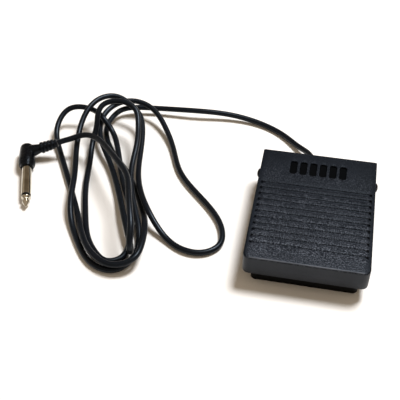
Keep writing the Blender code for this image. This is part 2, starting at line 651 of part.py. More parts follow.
def build_plug(plastic, rubber, metal, insulator_plastic):
    shaft, arm = plug_frame()
    radius = PLUG_HOUSING_RADIUS
    top_radius = PLUG_HOUSING_TOP_RADIUS
    back = PLUG_HOUSING_BACK
    front = PLUG_HOUSING_FRONT
    housing_profile = [
        (back, top_radius * 0.6),
        (back + 0.5, top_radius * 0.84),
        (back + 1.4, top_radius * 0.96),
        (back + 2.6, top_radius),
        (front - 7.0, radius),
        (front - 3.6, radius - 0.15),
        (front - 1.8, radius - 0.7),
        (front - 1.7, radius - 1.2),
        (front, radius - 1.4),
    ]
    housing = make_object("plug_housing", along_axis(turned(housing_profile, 24), PLUG_CENTRE, shaft), plastic)
    stub_profile = [(0.0, PLUG_STUB_RADIUS), (PLUG_STUB_LENGTH / 2, PLUG_STUB_RADIUS - 0.5),
                    (PLUG_STUB_LENGTH, PLUG_STUB_END_RADIUS)]
    combine(housing, [along_axis(turned(stub_profile, 20), PLUG_CENTRE, arm)], "UNION")

    boot_start = PLUG_CENTRE + arm * (PLUG_STUB_LENGTH + GAP)
    length = BOOT_LENGTH
    rib_length = (length - 3.0) / BOOT_RIBS
    boot_profile = [(0.0, BOOT_START_RADIUS - 0.8)]
    for index in range(BOOT_RIBS):
        start = 0.6 + index * rib_length
        rib_radius = BOOT_START_RADIUS + (BOOT_END_RADIUS - BOOT_START_RADIUS) * start / length
        boot_profile += [
            (start, rib_radius),
            (start + rib_length * 0.55, rib_radius),
            (start + rib_length * 0.6, rib_radius - 0.7),
            (start + rib_length * 0.95, rib_radius - 0.7),
        ]
    boot_profile += [(length - 2.2, BOOT_END_RADIUS), (length, BOOT_END_RADIUS - 0.3)]
    boot = along_axis(turned(boot_profile, 20), boot_start, arm)
    make_object("plug_boot", boot, rubber)

    shaft_radius = PLUG_SHAFT_RADIUS
    sleeve_profile = [(front + GAP, shaft_radius), (PLUG_SLEEVE_END, shaft_radius)]
    make_object("plug_sleeve", along_axis(turned(sleeve_profile, 24), PLUG_CENTRE, shaft), metal)
    ring_end = PLUG_SLEEVE_END + GAP + 1.2
    ring_profile = [(PLUG_SLEEVE_END + GAP, shaft_radius - 0.1), (ring_end, shaft_radius - 0.1)]
    make_object("plug_insulator", along_axis(turned(ring_profile, 24), PLUG_CENTRE, shaft), insulator_plastic)
    tip_start = ring_end + GAP
    tip_profile = [
        (tip_start, shaft_radius - 0.1),
        (tip_start + 1.0, shaft_radius - 0.1),
        (tip_start + 2.4, shaft_radius - 1.1),
        (tip_start + 3.6, shaft_radius - 0.9),
        (tip_start + 4.8, shaft_radius - 0.2),
        (tip_start + 5.6, shaft_radius - 0.2),
        (PLUG_TIP_END - 0.9, 1.1),
        (PLUG_TIP_END, 0.5),
    ]
    make_object("plug_tip", along_axis(turned(tip_profile, 24), PLUG_CENTRE, shaft), metal)


def build_free_lead(jacket):
    """The lead outside the pedal: three stretches of tube, and one solid for the loose winding."""
    routes = {"cord_out": LEAD_OUT_ROUTE, "cord_loop": LEAD_LOOP_ROUTE, "cord_tail": LEAD_TAIL_ROUTE}
    for name, route in routes.items():
        tube(name, smooth_curve(route, TUBE_STEP), LEAD_RADIUS, jacket, 2)

    shape = bmesh.new()
    for x, y, radius, top in WINDING_ENDS:
        profile = [
            (WINDING_UNDERSIDE, radius - WINDING_EDGE),
            (WINDING_EDGE, radius),
            (top - WINDING_EDGE, radius),
            (top, radius - WINDING_EDGE),
        ]
        puck = along_axis(turned(profile, 24), (x, y, 0.0), (0, 0, 1))
        for vert in puck.verts:
            shape.verts.new(vert.co)
        puck.free()
    hull = bmesh.ops.convex_hull(shape, input=shape.verts)
    inside = set(hull["geom_interior"] + hull["geom_unused"])
    bmesh.ops.delete(shape, geom=[item for item in inside if isinstance(item, bmesh.types.BMVert)])
    winding = make_object("cord_winding", shape, jacket)

    sockets = [box(BOOT_NOTCH_X, BOOT_NOTCH_Y, (BOOT_NOTCH_BOTTOM, PEDAL_DEPTH))]
    ends = [LEAD_OUT_ROUTE[-2:], LEAD_LOOP_ROUTE[1::-1], LEAD_LOOP_ROUTE[-2:], LEAD_TAIL_ROUTE[1::-1]]
    for outside, inside_end in ends:
        way = Vector(inside_end) - Vector(outside)
        overrun = way.normalized() * SOCKET_OVERRUN
        length = way.length + 2 * SOCKET_OVERRUN
        sockets.append(rod(Vector(outside) - overrun, way.normalized(), length, SOCKET_RADIUS))
    combine(winding, sockets, "DIFFERENCE")


def build():
    clear_scene()
    shell_plastic = make_material("shell_plastic", (0.022, 0.024, 0.030), 0.55)
    base_plastic = make_material("base_plastic", (0.010, 0.010, 0.011), 0.60)
    switch_plastic = make_material("switch_plastic", (0.030, 0.030, 0.032), 0.45)
    cover_plastic = make_material("switch_cover_plastic", (0.35, 0.05, 0.03), 0.45)
    sole_rubber = make_material("sole_rubber", (0.018, 0.018, 0.018), 0.85)
    lead_jacket = make_material("lead_jacket", (0.016, 0.016, 0.018), 0.42)
    plug_plastic = make_material("plug_plastic", (0.014, 0.014, 0.016), 0.40)
    black_steel = make_material("black_steel", (0.03, 0.03, 0.035), 0.25, 0.9)
    bright_steel = make_material("bright_steel", (0.62, 0.62, 0.64), 0.30, 1.0)
    plate_steel = make_material("plate_steel", (0.45, 0.46, 0.48), 0.45, 1.0)
    plug_metal = make_material("plug_metal", (0.75, 0.73, 0.68), 0.12, 1.0)
    terminal_brass = make_material("terminal_brass", (0.75, 0.55, 0.22), 0.30, 1.0)
    wires = {
        "wire_tip": make_material("wire_white", (0.80, 0.80, 0.78), 0.45),
        "wire_sleeve": make_material("wire_red", (0.55, 0.03, 0.02), 0.45),
    }

    treadle_axis = make_axis("treadle_axis", (0.0, HINGE_Y, HINGE_Z))
    lever_axis = make_axis("lever_axis", (SWITCH_X, LEVER_Y, LEVER_Z))
    plunger_axis = make_axis("plunger_axis", (SWITCH_X, PLUNGER_Y, PLUNGER_TOP))
    bpy.context.view_layer.update()

    build_base(base_plastic)
    build_sole(sole_rubber)
    build_ballast(plate_steel, bright_steel)
    build_treadle(shell_plastic, treadle_axis)
    build_pins(black_steel)
    build_spring(bright_steel)
    build_stops(sole_rubber)
    build_switch(switch_plastic, cover_plastic, bright_steel, terminal_brass, lever_axis, plunger_axis)
    build_lead_fittings(sole_rubber, lead_jacket, base_plastic, bright_steel, wires)
    build_free_lead(lead_jacket)
    build_plug(plug_plastic, sole_rubber, plug_metal, base_plastic)


build()
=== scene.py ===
"""Looks of the sustain pedal: ribbed treadle, base tray, fittings, loosely wound lead and jack plug.

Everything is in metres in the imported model's frame. Lengths written in millimetres are multiplied by MM.
"""

import json
import math

import bmesh
import bpy
import numpy as np
from mathutils import Matrix, Vector


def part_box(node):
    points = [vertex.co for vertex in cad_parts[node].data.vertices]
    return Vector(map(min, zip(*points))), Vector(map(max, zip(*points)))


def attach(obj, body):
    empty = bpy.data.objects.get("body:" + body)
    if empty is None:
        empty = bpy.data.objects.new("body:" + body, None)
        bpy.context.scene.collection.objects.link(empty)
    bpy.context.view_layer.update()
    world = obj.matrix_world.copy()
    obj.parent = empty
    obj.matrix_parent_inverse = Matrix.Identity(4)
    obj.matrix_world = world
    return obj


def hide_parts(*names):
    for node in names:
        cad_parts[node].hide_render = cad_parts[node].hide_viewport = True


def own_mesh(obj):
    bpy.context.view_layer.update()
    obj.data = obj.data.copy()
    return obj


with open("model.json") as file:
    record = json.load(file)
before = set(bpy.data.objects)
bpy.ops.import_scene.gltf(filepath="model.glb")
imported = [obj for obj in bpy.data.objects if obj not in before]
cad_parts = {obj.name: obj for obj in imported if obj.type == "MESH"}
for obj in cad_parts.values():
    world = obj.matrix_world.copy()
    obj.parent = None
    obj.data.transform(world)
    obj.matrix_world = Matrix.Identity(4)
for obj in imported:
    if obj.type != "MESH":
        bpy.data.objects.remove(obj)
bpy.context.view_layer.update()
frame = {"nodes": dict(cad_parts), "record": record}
MM = 0.001

# --------------------------------------------------------------------------------------- camera

# Place in metres, the way it looks, and the focal length in millimetres on a full-frame sensor.
CAMERA_PLACE = Vector((-3.1, -333.2, 342.6)) * MM
CAMERA_AIM = Vector((-0.1389, 0.7083, -0.6921))
CAMERA_LENS = 69.4


def add_camera():
    """Look down on the pedal from its toe end."""
    data = bpy.data.cameras.new("camera")
    data.lens = CAMERA_LENS
    data.sensor_width = 36.0
    data.clip_start = 0.01
    data.clip_end = 20.0
    camera = bpy.data.objects.new("camera", data)
    camera.location = CAMERA_PLACE
    camera.rotation_euler = CAMERA_AIM.to_track_quat("-Z", "Y").to_euler()
    bpy.context.collection.objects.link(camera)
    bpy.context.scene.camera = camera
    bpy.context.scene.view_settings.view_transform = "Standard"


# ------------------------------------------------------------------------------ floor and lights

FLOOR_COLOUR = (0.80, 0.775, 0.75, 1.0)
FLOOR_ROUGHNESS = 0.9
FLOOR_REACH = 3.0

# The room: a dark horizon, a warm ceiling above it, and a dimmer wall where the plate's mirror line looks.
HORIZON_COLOUR = (0.06, 0.05, 0.035, 1.0)
CEILING_COLOUR = (0.49, 0.41, 0.315, 1.0)
WALL_COLOUR = (0.17, 0.13, 0.09, 1.0)
WALL_WAY = (-0.10, 0.72, 0.69)
CEILING_RISE = (0.10, 0.32)
WALL_SPREAD = (0.66, 0.90)

KEY_PLACE = (0.30, 0.38, 1.20)
KEY_AIM = (-0.05, 0.02, 0.0)
KEY_SIZE = 0.44
KEY_POWER = 25.0
KEY_COLOUR = (0.96, 0.98, 1.0)

# A mix node's colour sockets share their names with its other sockets, so they are taken by number.
MIX_FACTOR = 0
MIX_FIRST = 6
MIX_SECOND = 7
MIX_RESULT = 2


def add_floor():
    """A wide pale sheet that the pedal and its lead lie on."""
    material = bpy.data.materials.new("floor_white")
    material.use_nodes = True
    shader = material.node_tree.nodes["Principled BSDF"]
    shader.inputs["Base Color"].default_value = FLOOR_COLOUR
    shader.inputs["Roughness"].default_value = FLOOR_ROUGHNESS
    shape = bmesh.new()
    bmesh.ops.create_grid(shape, x_segments=8, y_segments=8, size=FLOOR_REACH)
    mesh = bpy.data.meshes.new("floor")
    shape.to_mesh(mesh)
    shape.free()
    mesh.materials.append(material)
    floor = bpy.data.objects.new("floor", mesh)
    bpy.context.collection.objects.link(floor)


def add_key_light():
    """One large lamp high behind the pedal, so that shadows fall towards its toe end and its left."""
    data = bpy.data.lights.new("key", "AREA")
    data.shape = "DISK"
    data.size = KEY_SIZE
    data.energy = KEY_POWER
    data.color = KEY_COLOUR
    light = bpy.data.objects.new("key", data)
    light.location = Vector(KEY_PLACE)
    light.rotation_euler = (Vector(KEY_AIM) - Vector(KEY_PLACE)).to_track_quat("-Z", "Y").to_euler()
    bpy.context.collection.objects.link(light)


def blended(tree, share, first, second):
    """Blend two colours (sockets or plain colours) by a share, in a material's or the world's node tree."""
    node = tree.nodes.new("ShaderNodeMix")
    node.data_type = "RGBA"
    tree.links.new(share, node.inputs[MIX_FACTOR])
    for place, value in ((node.inputs[MIX_FIRST], first), (node.inputs[MIX_SECOND], second)):
        if isinstance(value, tuple):
            place.default_value = value
        else:
            tree.links.new(value, place)
    return node.outputs[MIX_RESULT]


def add_world():
    """The light of the room, which the dark plastics and the plated shaft mirror."""
    world = bpy.data.worlds.new("studio")
    bpy.context.scene.world = world
    world.use_nodes = True
    background = world.node_tree.nodes["Background"]
    background.inputs["Strength"].default_value = 1.0
    nodes = world.node_tree.nodes
    links = world.node_tree.links
    direction = nodes.new("ShaderNodeTexCoord")
    split = nodes.new("ShaderNodeSeparateXYZ")
    links.new(direction.outputs["Generated"], split.inputs[0])
    towards = nodes.new("ShaderNodeVectorMath")
    towards.operation = "DOT_PRODUCT"
    towards.inputs[1].default_value = WALL_WAY
    links.new(direction.outputs["Generated"], towards.inputs[0])
    shares = []
    for value, (start, end) in ((split.outputs["Z"], CEILING_RISE), (towards.outputs["Value"], WALL_SPREAD)):
        share = nodes.new("ShaderNodeMapRange")
        share.inputs["From Min"].default_value = start
        share.inputs["From Max"].default_value = end
        links.new(value, share.inputs["Value"])
        shares.append(share.outputs["Result"])
    ceiling = blended(world.node_tree, shares[0], HORIZON_COLOUR, CEILING_COLOUR)
    wall = blended(world.node_tree, shares[1], ceiling, WALL_COLOUR)
    links.new(wall, background.inputs["Color"])


# ------------------------------------------------------------------------------------ materials

FULL_SPECULAR = 0.5
COOL_TINT = (0.74, 0.86, 1.0, 1.0)


def new_material(name, colour, roughness, metallic=0.0, specular=FULL_SPECULAR):
    """A Principled material, with a cool tint on the weak sheen of dull plastic and rubber."""
    material = bpy.data.materials.new(name)
    material.use_nodes = True
    shader = material.node_tree.nodes["Principled BSDF"]
    shader.inputs["Base Color"].default_value = (*colour, 1.0)
    shader.inputs["Roughness"].default_value = roughness
    shader.inputs["Metallic"].default_value = metallic
    shader.inputs["Specular IOR Level"].default_value = specular
    if metallic == 0.0 and specular < FULL_SPECULAR:
        shader.inputs["Specular Tint"].default_value = COOL_TINT
    return material, shader


def add_node(material, kind, **inputs):
    """Add a shader node and set its inputs; an underscore stands for the space in an input's name."""
    node = material.node_tree.nodes.new(kind)
    for name, value in inputs.items():
        node.inputs[name.replace("_", " ")].default_value = value
    return node


def noise(material, scale, detail, stretch=(1.0, 1.0, 1.0)):
    """A noise texture in the piece's own space, with its scale in features per metre."""
    nodes = material.node_tree.nodes
    links = material.node_tree.links
    place = nodes.new("ShaderNodeTexCoord")
    mapping = nodes.new("ShaderNodeMapping")
    mapping.inputs["Scale"].default_value = stretch
    links.new(place.outputs["Object"], mapping.inputs["Vector"])
    texture = add_node(material, "ShaderNodeTexNoise", Scale=scale, Detail=detail, Roughness=0.6)
    links.new(mapping.outputs["Vector"], texture.inputs["Vector"])
    return texture.outputs["Fac"]


def spread(material, value, low, high):
    """Map a noise value's middle range onto low..high."""
    node = add_node(material, "ShaderNodeMapRange", From_Min=0.3, From_Max=0.7, To_Min=low, To_Max=high)
    material.node_tree.links.new(value, node.inputs["Value"])
    return node.outputs["Result"]


def blend_colours(material, value, dark, light):
    """Turn a noise value into a colour between dark and light."""
    ramp = material.node_tree.nodes.new("ShaderNodeValToRGB")
    ramp.color_ramp.elements[0].position = 0.32
    ramp.color_ramp.elements[1].position = 0.68
    ramp.color_ramp.elements[0].color = (*dark, 1.0)
    ramp.color_ramp.elements[1].color = (*light, 1.0)
    material.node_tree.links.new(value, ramp.inputs["Fac"])
    return ramp.outputs["Color"]


def bump(material, shader, heights, distance, strength):
    """Bump the surface by one or more (height, share) pairs."""
    links = material.node_tree.links
    parts = [combined(material, "MULTIPLY", height, share) for height, share in heights]
    total = parts[0]
    for part in parts[1:]:
        total = combined(material, "ADD", total, part)
    node = add_node(material, "ShaderNodeBump", Strength=strength, Distance=distance)
    links.new(total, node.inputs["Height"])
    links.new(node.outputs["Normal"], shader.inputs["Normal"])


def plastic(name, dark, light, roughness, grain, grain_depth, specular=FULL_SPECULAR):
    """Moulded plastic: colour that drifts a little, and a moulded grain of the given size in metres."""
    material, shader = new_material(name, light, roughness, specular=specular)
    links = material.node_tree.links
    drift = noise(material, 60.0, 4.0)
    links.new(blend_colours(material, drift, dark, light), shader.inputs["Base Color"])
    fine = noise(material, 1.0 / grain, 2.0)
    links.new(spread(material, fine, roughness - 0.07, roughness + 0.09), shader.inputs["Roughness"])
    finer = noise(material, 2.6 / grain, 2.0)
    bump(material, shader, [(fine, 0.7), (finer, 0.3)], grain_depth, 1.0)
    return material


def metal(name, dark, light, roughness, stretch=(1.0, 1.0, 1.0)):
    """Plated or rolled metal: faint clouding and fine lines."""
    material, shader = new_material(name, light, roughness, 1.0)
    links = material.node_tree.links
    cloud = noise(material, 130.0, 4.0)
    links.new(blend_colours(material, cloud, dark, light), shader.inputs["Base Color"])
    lines = noise(material, 2600.0, 3.0, stretch)
    links.new(spread(material, lines, roughness * 0.7, roughness * 1.4), shader.inputs["Roughness"])
    bump(material, shader, [(lines, 1.0)], 0.000004, 0.5)
    return material


def graded(material, axis, start, end):
    """0 at one coordinate (in metres) and 1 at another along an axis of the piece; X counts both ways."""
    place = material.node_tree.nodes.new("ShaderNodeTexCoord")
    split = material.node_tree.nodes.new("ShaderNodeSeparateXYZ")
    material.node_tree.links.new(place.outputs["Object"], split.inputs[0])
    value = split.outputs[axis]
    if axis == "X":
        value = combined(material, "ABSOLUTE", value)
    ramp = add_node(material, "ShaderNodeMapRange", From_Min=start, From_Max=end)
    material.node_tree.links.new(value, ramp.inputs["Value"])
    return ramp.outputs["Result"]


def combined(material, operation, *values):
    """A maths node on sockets or plain numbers."""
    node = add_node(material, "ShaderNodeMath")
    node.operation = operation
    for place, value in zip(node.inputs, values):
        if isinstance(value, (int, float)):
            place.default_value = value
        else:
            material.node_tree.links.new(value, place)
    return node.outputs[0]


# The grip surface: its grain in features per metre, and where its paler colour grows and ends, in metres.
# That colour, painted on the grain's high spots, is painted sheen and sparkle with some scuffing: it grows
# towards the toe, is weaker on the front strip, and fades out at the side borders, which leaves painted shade
# there.
GRAIN = 1550.0
FINE_GRAIN = 3000.0
GRAIN_DEPTH = 0.00025
PEAKS = (-1.0, 1.22)
SHEEN_AND_WEAR_FROM_HEEL_TO_TOE = (0.040, -0.046)
SHEEN_AND_WEAR_GROWTH = 0.82
SHEEN_AND_WEAR_AT_HEEL = 0.03
SHEEN_FADE_AT_SIDES = (0.0342, 0.0318)
FRONT_STRIP_EDGE = (-0.0345, -0.0395)
FRONT_STRIP_LESS_SHEEN_AND_WEAR = 0.28


def grip_plastic(name, dark, light, sheen_and_scuff, roughness, specular):
    """The treadle's coarse moulded grain, its high spots painted paler towards the toe: painted sheen, with
    some scuffing.
    """
    material, shader = new_material(name, dark, roughness, specular=specular)
    links = material.node_tree.links
    grain = noise(material, GRAIN, 2.0)
    fine = noise(material, FINE_GRAIN, 2.0)
    drift = noise(material, 45.0, 4.0)
    # Painted sheen and sparkle, with some scuffing, on the grain's high spots; painted shade at the side
    # borders.
    peaks = combined(material, "MAXIMUM", spread(material, grain, *PEAKS), 0.0)
    growth = combined(material, "MULTIPLY", graded(material, "Y", *SHEEN_AND_WEAR_FROM_HEEL_TO_TOE), SHEEN_AND_WEAR_GROWTH)
    toe = combined(material, "ADD", growth, SHEEN_AND_WEAR_AT_HEEL)
    middle = graded(material, "X", *SHEEN_FADE_AT_SIDES)
    sheen_and_wear = combined(material, "MULTIPLY", combined(material, "MULTIPLY", toe, middle), peaks)
    sheen_and_wear = combined(material, "MULTIPLY", sheen_and_wear, spread(material, drift, 0.75, 1.15))
    front = combined(material, "MULTIPLY", graded(material, "Y", *FRONT_STRIP_EDGE), -FRONT_STRIP_LESS_SHEEN_AND_WEAR)
    sheen_and_wear = combined(material, "MULTIPLY", sheen_and_wear, combined(material, "ADD", front, 1.0))
    base = blend_colours(material, drift, dark, light)
    links.new(blended(material.node_tree, sheen_and_wear, base, (*sheen_and_scuff, 1.0)), shader.inputs["Base Color"])
    links.new(spread(material, fine, roughness - 0.1, roughness + 0.1), shader.inputs["Roughness"])
    bump(material, shader, [(grain, 0.8), (fine, 0.2)], GRAIN_DEPTH, 1.0)
    return material


# Grip plastics: dark and light colours, the paler colour of painted sheen and scuffing on the grain's high
# spots, roughness, specular.
SHELL = grip_plastic("shell_plastic", (0.0022, 0.003, 0.0048), (0.0042, 0.0052, 0.008),
                     (0.140, 0.154, 0.186), 0.44, 0.07)
# The grooves get a darker copy of the grip plastic, with less painted sheen: painted shade in the grooves.
GROOVE = grip_plastic("groove_plastic", (0.002, 0.003, 0.005), (0.004, 0.005, 0.008),
                      (0.088, 0.097, 0.117), 0.50, 0.08)

# Plastics and rubber: dark and light colours, roughness, grain size and depth in metres, specular.
# A pale band painted along the rounded front edge of the top: a painted highlight.
EDGE_HIGHLIGHT = plastic("edge_highlight_plastic", (0.024, 0.026, 0.031), (0.086, 0.090, 0.104), 0.40, 0.0008, 0.00010, 0.25)
# The skirt is given a paler colour than the top's own: painted light on its faces.
SKIRT = plastic("skirt_plastic", (0.0098, 0.0102, 0.013), (0.015, 0.0156, 0.020), 0.46, 0.0004, 0.00003, 0.28)
# The slots' floors are painted near black with almost no sheen: painted shade in the slots.
RECESS = plastic("recess_plastic", (0.0005, 0.0005, 0.0006), (0.001, 0.001, 0.001), 0.60,
                 0.0005, 0.00003, 0.02)
BASE = plastic("base_plastic", (0.002, 0.0018, 0.0016), (0.0035, 0.003, 0.0028), 0.50, 0.0005, 0.00004, 0.09)
SWITCH = plastic("switch_plastic", (0.022, 0.022, 0.024), (0.036, 0.036, 0.038), 0.42, 0.0004, 0.00002)
COVER = plastic("switch_cover_plastic", (0.28, 0.035, 0.02), (0.38, 0.055, 0.03), 0.42, 0.0004, 0.00002)
RUBBER = plastic("sole_rubber", (0.0025, 0.003, 0.0035), (0.004, 0.0045, 0.0055), 0.62, 0.0004, 0.00004, 0.10)
JACKET = plastic("lead_jacket", (0.003, 0.0038, 0.0054), (0.0038, 0.005, 0.0078), 0.32, 0.0006, 0.00001, 0.17)
PLUG = plastic("plug_plastic", (0.0012, 0.0014, 0.0022), (0.002, 0.0025, 0.004), 0.26, 0.0005, 0.00003, 0.20)
WHITE = plastic("wire_white", (0.70, 0.70, 0.68), (0.82, 0.82, 0.80), 0.42, 0.0004, 0.00001)
RED = plastic("wire_red", (0.45, 0.02, 0.015), (0.58, 0.035, 0.025), 0.42, 0.0004, 0.00001)

# Metals: dark and light colours, roughness, and how the fine lines are stretched.
BLACK_STEEL = metal("black_steel", (0.006, 0.006, 0.008), (0.014, 0.014, 0.018), 0.22)
BRIGHT_STEEL = metal("bright_steel", (0.50, 0.50, 0.52), (0.66, 0.66, 0.68), 0.28)
PLATE_STEEL = metal("plate_steel", (0.36, 0.37, 0.39), (0.50, 0.51, 0.53), 0.42, (1.0, 0.05, 1.0))
NICKEL = metal("plug_metal", (0.46, 0.41, 0.32), (0.68, 0.64, 0.56), 0.10)
BRASS = metal("terminal_brass", (0.66, 0.46, 0.17), (0.80, 0.60, 0.26), 0.28)

# The finish for each material slot of the record.
NODE_MATERIALS = {
    "shell_plastic": SHELL,
    "base_plastic": BASE,
    "switch_plastic": SWITCH,
    "switch_cover_plastic": COVER,
    "sole_rubber": RUBBER,
    "lead_jacket": JACKET,
    "plug_plastic": PLUG,
    "wire_white": WHITE,
    "wire_red": RED,
    "black_steel": BLACK_STEEL,
    "bright_steel": BRIGHT_STEEL,
    "plate_steel": PLATE_STEEL,
    "plug_metal": NICKEL,
    "terminal_brass": BRASS,
}

# CAD nodes whose edges are softened, with the bevel's width in millimetres.
SOFT_EDGED = {
    "base_tray": 0.3,
    "rubber_sole": 0.3,
    "ballast_plate": 0.2,
    "cord_clamp": 0.2,
    "switch_cover": 0.2,
}


def finish_cad_nodes():
    """Give every CAD node its finish, and soften the edges of the plain shells and plates."""
    for entry in frame["record"]["subparts"]:
        node = frame["nodes"][entry["node"]]
        material = NODE_MATERIALS[entry["material_slot"]]
        if not node.material_slots:
            node.data.materials.append(material)
        for place in node.material_slots:
            place.material = material
        if entry["node"] in SOFT_EDGED:
            edges = node.modifiers.new("edges", "BEVEL")
            edges.width = SOFT_EDGED[entry["node"]] * MM
            edges.segments = 2
            edges.limit_method = "ANGLE"
            edges.angle_limit = math.radians(50)


# --------------------------------------------------------------------------------------- pieces

SHARP_ANGLE = math.radians(40)


def add_piece(name, shape, materials, body, node=None):
    """Turn a shape into a piece that rides on a body, and stands for a CAD node if one is named."""
    bmesh.ops.recalc_face_normals(shape, faces=shape.faces)
    mesh = bpy.data.meshes.new(name)
    shape.to_mesh(mesh)
    shape.free()
    for material in materials:
        mesh.materials.append(material)
    mesh.shade_smooth()
    mesh.set_sharp_from_angle(angle=SHARP_ANGLE)
    piece = bpy.data.objects.new(name, mesh)
    bpy.context.collection.objects.link(piece)
    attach(piece, body)
    if node:
        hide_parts(node)
    return piece


def filleted(profile, radius, steps=4):
    """A profile of (distance along the axis, radius) pairs with its corners rounded."""
    points = [Vector(point) for point in profile]
    result = [points[0]]
    for before, corner, after in zip(points, points[1:], points[2:]):
        to_before = before - corner
        to_after = after - corner
        reach = min(radius, to_before.length * 0.45, to_after.length * 0.45)
        start = corner + to_before.normalized() * reach
        end = corner + to_after.normalized() * reach
        for step in range(steps + 1):
            t = step / steps
            result.append(start.lerp(corner, t).lerp(corner.lerp(end, t), t))
    result.append(points[-1])
    return result


def scaled(profile):
    """A profile in millimetres, in metres."""
    return [(along * MM, radius * MM) for along, radius in profile]


def joined(shape, near, far):
    """Close the band between two rings of as many points."""
    for k in range(len(near)):
        after = (k + 1) % len(near)
        shape.faces.new((near[k], near[after], far[after], far[k]))


def turned_rings(shape, profile, sides):
    """One ring of points about the X axis for each (distance along it, radius) pair."""
    angles = [2 * math.pi * k / sides for k in range(sides)]
    rings = []
    for along, radius in profile:
        rings.append([shape.verts.new((along, radius * math.cos(a), radius * math.sin(a))) for a in angles])
    return rings


def aim_shape(shape, place, direction):
    """Turn a shape's X axis to a direction and its origin to a place."""
    turn = Vector((1.0, 0.0, 0.0)).rotation_difference(Vector(direction))
    matrix = Matrix.Translation(Vector(place)) @ turn.to_matrix().to_4x4()
    bmesh.ops.transform(shape, matrix=matrix, verts=shape.verts)


def lathe(profile, place, direction, sides=48):
    """A closed solid turned from (distance along the axis, radius) pairs in metres about a line."""
    shape = bmesh.new()
    rings = turned_rings(shape, profile, sides)
    for near, far in zip(rings, rings[1:]):
        joined(shape, near, far)
    shape.faces.new(list(reversed(rings[0])))
    shape.faces.new(rings[-1])
    aim_shape(shape, place, direction)
    return shape


def turned_ring(profile, place, direction, sides=48):
    """A closed ring turned from a closed profile in metres about a line."""
    shape = bmesh.new()
    rings = turned_rings(shape, profile, sides)
    for near, far in zip(rings, rings[1:] + rings[:1]):
        joined(shape, near, far)
    aim_shape(shape, place, direction)
    return shape


def swept(points, radius, sides=12):
    """A closed round bar along a line of points."""
    shape = bmesh.new()
    centres = [Vector(point) for point in points]
    side = (centres[1] - centres[0]).orthogonal()
    angles = [2 * math.pi * k / sides for k in range(sides)]
    rings = []
    for index, centre in enumerate(centres):
        before = centres[max(index - 1, 0)]
        after = centres[min(index + 1, len(centres) - 1)]
        way = (after - before).normalized()
        side = (side - way * side.dot(way)).normalized()
        other = way.cross(side)
        spokes = [side * math.cos(a) + other * math.sin(a) for a in angles]
        rings.append([shape.verts.new(centre + spoke * radius) for spoke in spokes])
    for near, far in zip(rings, rings[1:]):
        joined(shape, near, far)
    shape.faces.new(list(reversed(rings[0])))
    shape.faces.new(rings[-1])
    return shape


def cut(piece, shape):
    """Cut a closed shape out of a piece and keep the result as its mesh."""
    mesh = bpy.data.meshes.new("cutter")
    shape.to_mesh(mesh)
    shape.free()
    cutter = bpy.data.objects.new("cutter", mesh)
    bpy.context.collection.objects.link(cutter)
    modifier = piece.modifiers.new("cut", "BOOLEAN")
    modifier.operation = "DIFFERENCE"
    modifier.solver = "EXACT"
    modifier.object = cutter
    bpy.context.view_layer.update()
    cut_piece = piece.evaluated_get(bpy.context.evaluated_depsgraph_get())
    result = bpy.data.meshes.new_from_object(cut_piece)
    piece.modifiers.clear()
    piece.data = result
    bpy.data.objects.remove(cutter, do_unlink=True)


# -------------------------------------------------------------------------------------- treadle

# In millimetres: the plate and its skirt, the grooves with a pit at each end, and the row of slots. Each
# ..._EDGE is the half-width of the slope beside a groove, a pit or a slot, and SLOT_ZONE is how far in front
# of the slots' middle the plate may take their near-black painted shade. The top's rim is rounded by
# REAR_FILLET at the heel and by TOP_FILLET at the toe, and changes from one to the other about
# FILLET_CHANGE_Y.
# EDGE_HIGHLIGHT_BAND is how far inside the front outline the painted highlight along the front edge starts
# and ends.
HALF_WIDTH = 35.6
HALF_DEPTH = 45.7
MID_HEIGHT = 24.0
SLOPE = 3 / (2 * HALF_DEPTH)
SKIRT_HEIGHT = 13.2
SKIRT_WALL = 2.2
PLATE_THICKNESS = 2.5
TOE_CORNER = 4.0
HEEL_CORNER = 1.0
TOP_FILLET = 0.9
REAR_FILLET = 0.3
FILLET_CHANGE_Y = -24.0
FILLET_CHANGE_REACH = 12.0
SMALLEST_CORNER = 0.35
EDGE_HIGHLIGHT_BAND = (0.12, 0.9)
GROOVE_CENTRES = [15.5 - 4.95 * k for k in range(11)]
GROOVE_HALF = 0.95
GROOVE_DEPTH = 0.55
GROOVE_EDGE = 0.28
GROOVE_END = 33.4
PIT_LENGTH = 1.1
PIT_DEPTH = 0.7
PIT_EDGE = 0.25
SLOT_CENTRES = [6.1 * (k - 2.5) for k in range(6)]
SLOT_HALF_WIDTH = 2.1
SLOT_HALF_LENGTH = 5.6
SLOT_Y = 32.0
SLOT_DEPTH = 1.0
SLOT_CORNER = 1.4
SLOT_EDGE = 0.18
SLOT_ZONE = 8.0

SKIRT_BOTTOM = MID_HEIGHT - SKIRT_HEIGHT
CEILING = MID_HEIGHT - PLATE_THICKNESS

# The skirt's section, down its outside, round its foot, and up inside to the ceiling: how far in from the
# outline, and the height at the plate's middle.
SKIRT_SECTION = [
    (0.0, MID_HEIGHT - TOP_FILLET - 1.2), (0.0, (MID_HEIGHT + SKIRT_BOTTOM) / 2), (0.0, SKIRT_BOTTOM + 0.35),
    (0.05, SKIRT_BOTTOM + 0.18), (0.18, SKIRT_BOTTOM + 0.05), (0.35, SKIRT_BOTTOM),
    (SKIRT_WALL - 0.35, SKIRT_BOTTOM), (SKIRT_WALL - 0.1, SKIRT_BOTTOM + 0.1),
    (SKIRT_WALL, SKIRT_BOTTOM + 0.35), (SKIRT_WALL, CEILING - 0.8),
    (SKIRT_WALL + 0.25, CEILING - 0.25), (SKIRT_WALL + 0.8, CEILING),
]

